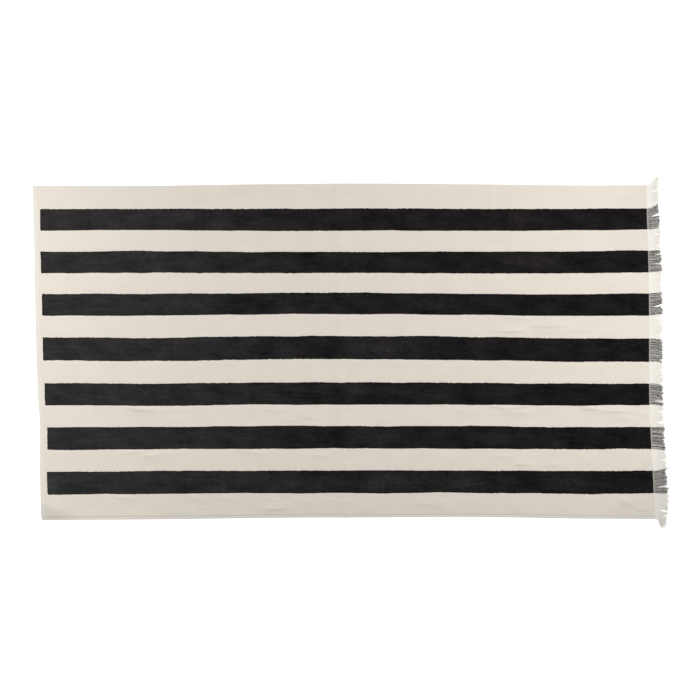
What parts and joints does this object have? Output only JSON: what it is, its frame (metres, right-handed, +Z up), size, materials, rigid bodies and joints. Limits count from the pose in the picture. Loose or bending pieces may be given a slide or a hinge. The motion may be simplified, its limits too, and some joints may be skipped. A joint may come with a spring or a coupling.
{
  "type": "beach towel",
  "caption": "Striped velour beach towel laid out flat, with stitched hems on three sides and a cut yarn fringe along one short end.",
  "frame": {"origin": "on the floor, under the middle of the towel's box", "axes": "+X along the towel towards its fringe, +Y across it towards the side that is uppermost in the picture, +Z up from the floor"},
  "size_m": [1.7171, 0.9528, 0.0073],
  "materials": {
    "striped_pile": "cut cotton pile, cream with black stripes along its length",
    "mixed_yarn": "loose cotton yarn, cream, and mixed black and white at the ends of the black stripes"
  },
  "bodies": {
    "root": {"towel_cloth": "striped_pile", "fringe": "mixed_yarn"}
  },
  "joints": []
}
